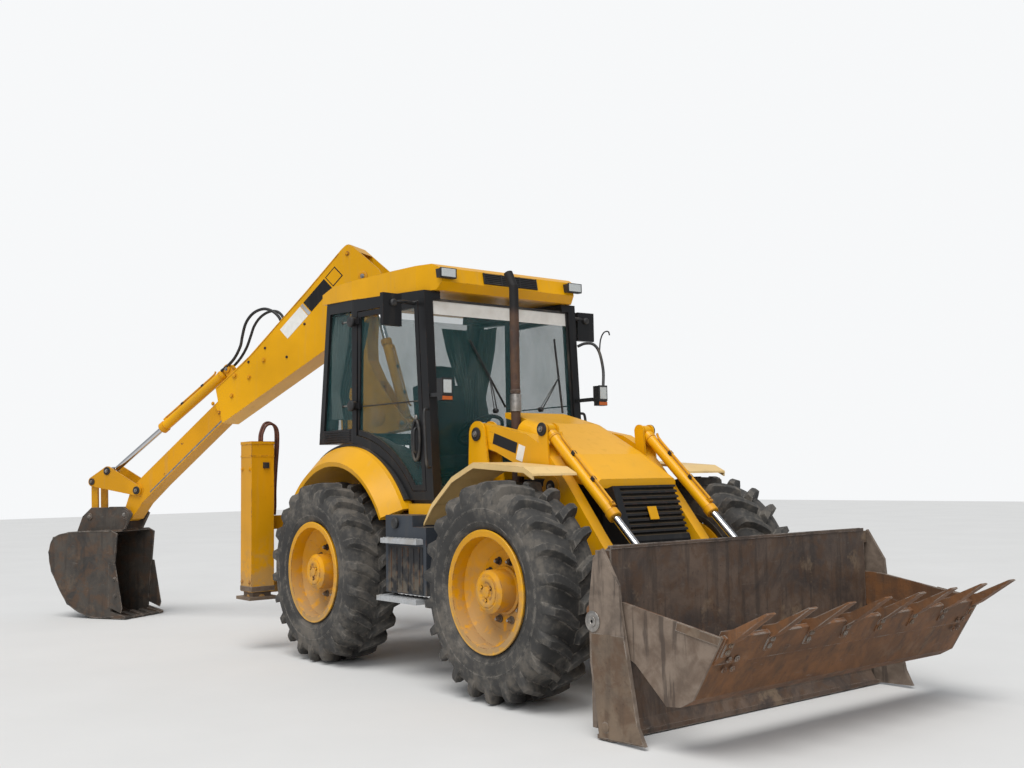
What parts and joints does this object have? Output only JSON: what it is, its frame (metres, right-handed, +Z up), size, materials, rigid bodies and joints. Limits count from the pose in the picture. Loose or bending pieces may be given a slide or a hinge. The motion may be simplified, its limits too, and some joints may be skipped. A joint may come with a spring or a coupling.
{
  "type": "backhoe loader",
  "caption": "Equal-wheel backhoe loader with a clamshell loader bucket, four-post cab and side-shifting backhoe with an extending dipper, parked.",
  "frame": {"origin": "on the ground under the middle of the machine's footprint, with the backhoe swung 30 degrees", "axes": "+X towards the loader bucket, +Y to the machine's left, +Z up"},
  "size_m": [9.3849, 3.0054, 3.6993],
  "materials": {
    "yellow_paint": "worn gloss",
    "cream_paint": "faded",
    "black_paint": "semi-gloss",
    "dark_steel": "matt",
    "bucket_steel": "worn, rusted",
    "chrome_rod": "polished",
    "tyre_rubber": "muddy",
    "glass": "tinted",
    "black_plastic": "matt",
    "rusty_pipe": "rusted",
    "lamp": "clear",
    "seat_cloth": "woven",
    "axle_paint": "muddy"
  },
  "bodies": {
    "chassis": {"chassis_frame": "dark_steel", "rear_frame": "yellow_paint", "drivetrain": "dark_steel", "axles": "axle_paint", "loader_towers": "yellow_paint", "grille": "black_paint", "exhaust": "rusty_pipe", "front_fenders": "cream_paint", "rear_fenders": "yellow_paint", "step_boxes": "dark_steel", "cab_frame": "black_paint", "cab_roof": "cream_paint", "cab_glass": "glass", "cab_floor": "black_plastic", "seat": "seat_cloth", "controls": "black_plastic", "lamps": "lamp"},
    "bonnet": {"bonnet": "yellow_paint"},
    "door_right": {"door_right": "black_paint", "door_right_glass": "glass"},
    "door_left": {"door_left": "black_paint", "door_left_glass": "glass"},
    "knuckle_fr": {"knuckle_fr": "axle_paint"},
    "wheel_fr": {"tyre_fr": "tyre_rubber", "rim_fr": "yellow_paint"},
    "knuckle_fl": {"knuckle_fl": "axle_paint"},
    "wheel_fl": {"tyre_fl": "tyre_rubber", "rim_fl": "yellow_paint"},
    "knuckle_rr": {"knuckle_rr": "axle_paint"},
    "wheel_rr": {"tyre_rr": "tyre_rubber", "rim_rr": "yellow_paint"},
    "knuckle_rl": {"knuckle_rl": "axle_paint"},
    "wheel_rl": {"tyre_rl": "tyre_rubber", "rim_rl": "yellow_paint"},
    "loader_arms": {"loader_arms": "yellow_paint"},
    "loader_bucket": {"loader_bucket": "bucket_steel"},
    "clam": {"clam": "bucket_steel"},
    "lift_barrels": {"lift_barrels": "yellow_paint"},
    "lift_rods": {"lift_rods": "chrome_rod"},
    "tilt_barrels": {"tilt_barrels": "yellow_paint"},
    "tilt_rods": {"tilt_rods": "chrome_rod"},
    "clam_barrels": {"clam_barrels": "yellow_paint"},
    "clam_rods": {"clam_rods": "chrome_rod"},
    "leg_right": {"leg_right": "yellow_paint"},
    "leg_left": {"leg_left": "yellow_paint"},
    "carriage": {"carriage": "yellow_paint"},
    "kingpost": {"kingpost": "yellow_paint"},
    "boom": {"boom": "yellow_paint"},
    "dipper": {"dipper": "yellow_paint"},
    "dipper_inner": {"dipper_inner": "bucket_steel"},
    "hoe_bucket": {"hoe_bucket": "bucket_steel"},
    "boom_ram_barrel": {"boom_ram_barrel": "yellow_paint"},
    "boom_ram_rod": {"boom_ram_rod": "chrome_rod"},
    "dipper_ram_barrel": {"dipper_ram_barrel": "yellow_paint"},
    "dipper_ram_rod": {"dipper_ram_rod": "chrome_rod"},
    "bucket_ram_barrel": {"bucket_ram_barrel": "yellow_paint"},
    "bucket_ram_rod": {"bucket_ram_rod": "chrome_rod"},
    "rocker": {"rocker": "yellow_paint"},
    "tipping_link": {"tipping_link": "yellow_paint"}
  },
  "joints": [
    {"name": "front_steer_right", "type": "hinge", "parent": "chassis", "child": "knuckle_fr", "pos_m": [2.472, -0.447, 0.69], "axis": [0, 0, 1], "range_deg": [-18, 18]},
    {"name": "front_steer_left", "type": "hinge", "parent": "chassis", "child": "knuckle_fl", "pos_m": [2.472, 0.953, 0.69], "axis": [0, 0, 1], "range_deg": [-18, 18]},
    {"name": "wheel_fr_spin", "type": "hinge", "parent": "knuckle_fr", "child": "wheel_fr", "pos_m": [2.472, -0.667, 0.69], "axis": [0, 1, 0], "continuous": true},
    {"name": "wheel_fl_spin", "type": "hinge", "parent": "knuckle_fl", "child": "wheel_fl", "pos_m": [2.472, 1.173, 0.69], "axis": [0, 1, 0], "continuous": true},
    {"name": "rear_steer_right", "type": "hinge", "parent": "chassis", "child": "knuckle_rr", "pos_m": [0.252, -0.447, 0.69], "axis": [0, 0, 1], "range_deg": [-18, 18]},
    {"name": "rear_steer_left", "type": "hinge", "parent": "chassis", "child": "knuckle_rl", "pos_m": [0.252, 0.953, 0.69], "axis": [0, 0, 1], "range_deg": [-18, 18]},
    {"name": "wheel_rr_spin", "type": "hinge", "parent": "knuckle_rr", "child": "wheel_rr", "pos_m": [0.252, -0.667, 0.69], "axis": [0, 1, 0], "continuous": true},
    {"name": "wheel_rl_spin", "type": "hinge", "parent": "knuckle_rl", "child": "wheel_rl", "pos_m": [0.252, 1.173, 0.69], "axis": [0, 1, 0], "continuous": true},
    {"name": "loader_lift", "type": "hinge", "parent": "chassis", "child": "loader_arms", "pos_m": [1.612, 0.253, 1.71], "axis": [0, -1, 0], "range_deg": [0, 86]},
    {"name": "bucket_tilt", "type": "hinge", "parent": "loader_arms", "child": "loader_bucket", "pos_m": [3.472, 0.253, 0.38], "axis": [0, 1, 0], "range_deg": [-37, 95]},
    {"name": "clam_open", "type": "hinge", "parent": "loader_bucket", "child": "clam", "pos_m": [3.572, 0.253, 0.62], "axis": [0, -1, 0], "range_deg": [-36, 40]},
    {"name": "lift_barrel", "type": "hinge", "parent": "chassis", "child": "lift_barrels", "pos_m": [1.552, 0.253, 0.96], "axis": [0, -1, 0], "range_deg": [-1, 50.17]},
    {"name": "lift_rod", "type": "slide", "parent": "lift_barrels", "child": "lift_rods", "axis": [0.9169, 0, 0.3991], "range_m": [-0.002, 0.7255]},
    {"name": "tilt_barrel", "type": "hinge", "parent": "loader_arms", "child": "tilt_barrels", "pos_m": [2.332, 0.253, 1.715], "axis": [0, -1, 0], "range_deg": [-2.69, 5.35]},
    {"name": "tilt_rod", "type": "slide", "parent": "tilt_barrels", "child": "tilt_rods", "axis": [0.7365, 0, -0.6765], "range_m": [-0.1506, 0.3836]},
    {"name": "clam_barrel", "type": "hinge", "parent": "loader_bucket", "child": "clam_barrels", "pos_m": [3.517, 0.253, 0.215], "axis": [0, -1, 0], "range_deg": [-5.24, 5.72]},
    {"name": "clam_rod", "type": "slide", "parent": "clam_barrels", "child": "clam_rods", "axis": [-0.168, 0, 0.9858], "range_m": [-0.0872, 0.0787]},
    {"name": "bonnet_open", "type": "hinge", "parent": "chassis", "child": "bonnet", "pos_m": [2.714, 0.253, 1.315], "axis": [0, 1, 0], "range_deg": [0, 60]},
    {"name": "door_right_open", "type": "hinge", "parent": "chassis", "child": "door_right", "pos_m": [0.4249, -0.5668, 2], "axis": [0, 0, -1], "range_deg": [0, 75]},
    {"name": "door_left_open", "type": "hinge", "parent": "chassis", "child": "door_left", "pos_m": [0.4249, 1.0728, 2], "axis": [0, 0, 1], "range_deg": [0, 75]},
    {"name": "leg_right_down", "type": "slide", "parent": "chassis", "child": "leg_right", "axis": [0, 0, -1], "range_m": [0, 0.55]},
    {"name": "leg_left_down", "type": "slide", "parent": "chassis", "child": "leg_left", "axis": [0, 0, -1], "range_m": [0, 0.55]},
    {"name": "sideshift", "type": "slide", "parent": "chassis", "child": "carriage", "axis": [0, 1, 0], "range_m": [-1.03, 0.13]},
    {"name": "swing", "type": "hinge", "parent": "carriage", "child": "kingpost", "pos_m": [-1.173, 0.703, 0], "axis": [0, 0, 1], "range_deg": [-120, 60]},
    {"name": "boom_lower", "type": "hinge", "parent": "kingpost", "child": "boom", "pos_m": [-1.4328, 0.553, 0.75], "axis": [0.5, -0.866, 0], "range_deg": [-3, 112]},
    {"name": "dipper_out", "type": "hinge", "parent": "boom", "child": "dipper", "pos_m": [-1.3549, 0.598, 3.01], "axis": [-0.5, 0.866, 0], "range_deg": [-15, 90]},
    {"name": "dipper_extend", "type": "slide", "parent": "dipper", "child": "dipper_inner", "axis": [-0.6778, -0.3913, -0.6225], "range_m": [-1.1, 0.05]},
    {"name": "bucket_curl", "type": "hinge", "parent": "dipper_inner", "child": "hoe_bucket", "pos_m": [-3.7799, -0.8021, 1.0702], "axis": [-0.5, 0.866, 0], "range_deg": [-45, 85]},
    {"name": "boom_ram_barrel", "type": "hinge", "parent": "kingpost", "child": "boom_ram_barrel", "pos_m": [-1.2076, 0.683, 1.06], "axis": [-0.5, 0.866, 0], "range_deg": [-115.58, 4.07]},
    {"name": "boom_ram_rod", "type": "slide", "parent": "boom_ram_barrel", "child": "boom_ram_rod", "axis": [0.0188, 0.0109, 0.9998], "range_m": [-0.0198, 0.6666]},
    {"name": "dipper_ram_barrel", "type": "hinge", "parent": "boom", "child": "dipper_ram_barrel", "pos_m": [-0.9652, 0.823, 1.93], "axis": [-0.5, 0.866, 0], "range_deg": [-3.21, 14.26]},
    {"name": "dipper_ram_rod", "type": "slide", "parent": "dipper_ram_barrel", "child": "dipper_ram_rod", "axis": [-0.232, -0.1339, 0.9635], "range_m": [-0.4366, 0.0744]},
    {"name": "bucket_ram_barrel", "type": "hinge", "parent": "dipper_inner", "child": "bucket_ram_barrel", "pos_m": [-2.7423, -0.203, 2.5534], "axis": [-0.5, 0.866, 0], "range_deg": [-2.57, 3.97]},
    {"name": "bucket_ram_rod", "type": "slide", "parent": "bucket_ram_barrel", "child": "bucket_ram_rod", "axis": [-0.7104, -0.4102, -0.5719], "range_m": [-0.4436, 0.2358]},
    {"name": "rocker_turn", "type": "hinge", "parent": "dipper_inner", "child": "rocker", "pos_m": [-3.6757, -0.7419, 1.3205], "axis": [-0.5, 0.866, 0], "range_deg": [-37.45, 69.85]},
    {"name": "link_turn", "type": "hinge", "parent": "rocker", "child": "tipping_link", "pos_m": [-4.1867, -1.0369, 1.4197], "axis": [-0.5, 0.866, 0], "range_deg": [-52, 28]}
  ],
  "couplings": [
    {"joint": "front_steer_left", "follows": "front_steer_right", "ratio": 1},
    {"joint": "rear_steer_left", "follows": "rear_steer_right", "ratio": 1},
    {"joint": "lift_barrel", "follows": "loader_lift", "ratio": 0.5718},
    {"joint": "lift_rod", "follows": "loader_lift", "m_per_rad": 0.48202},
    {"joint": "tilt_barrel", "follows": "bucket_tilt", "ratio": 0.0457},
    {"joint": "tilt_rod", "follows": "bucket_tilt", "m_per_rad": 0.23017},
    {"joint": "clam_barrel", "follows": "clam_open", "ratio": 0.1179},
    {"joint": "clam_rod", "follows": "clam_open", "m_per_rad": -0.12207},
    {"joint": "boom_ram_barrel", "follows": "boom_lower", "ratio": -1.023},
    {"joint": "boom_ram_rod", "follows": "boom_lower", "m_per_rad": 0.34},
    {"joint": "dipper_ram_barrel", "follows": "dipper_out", "ratio": 0.1474},
    {"joint": "dipper_ram_rod", "follows": "dipper_out", "m_per_rad": -0.27666},
    {"joint": "bucket_ram_barrel", "follows": "bucket_curl", "ratio": 0.035},
    {"joint": "bucket_ram_rod", "follows": "bucket_curl", "m_per_rad": -0.29764},
    {"joint": "rocker_turn", "follows": "bucket_curl", "ratio": 0.81},
    {"joint": "link_turn", "follows": "bucket_curl", "ratio": -0.6}
  ]
}
